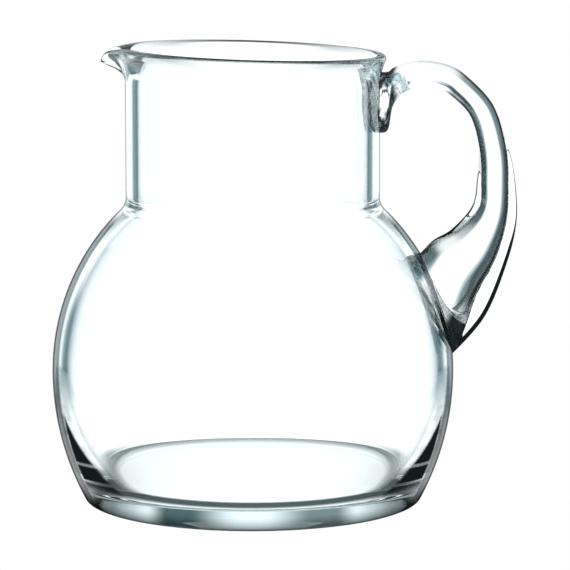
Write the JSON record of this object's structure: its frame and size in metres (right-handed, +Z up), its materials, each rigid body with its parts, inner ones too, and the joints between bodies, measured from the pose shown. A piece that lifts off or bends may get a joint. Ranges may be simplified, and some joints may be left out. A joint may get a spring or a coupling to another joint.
{
  "type": "glass jug",
  "caption": "Clear glass serving jug with a round belly, a straight neck with a drawn pouring spout, a thick flat floor and an applied strap handle.",
  "frame": {"origin": "on the vessel's axis, at the middle of the flat underside that stands on the table", "axes": "+Z up along the vessel's axis, -X towards the spout, +X towards the handle"},
  "size_m": [0.1857, 0.1604, 0.1817],
  "materials": {
    "vessel_glass": "clear blown glass, fire-polished",
    "handle_glass": "clear solid glass, fire-polished"
  },
  "bodies": {
    "root": {"vessel": "vessel_glass", "handle": "handle_glass"}
  },
  "joints": []
}
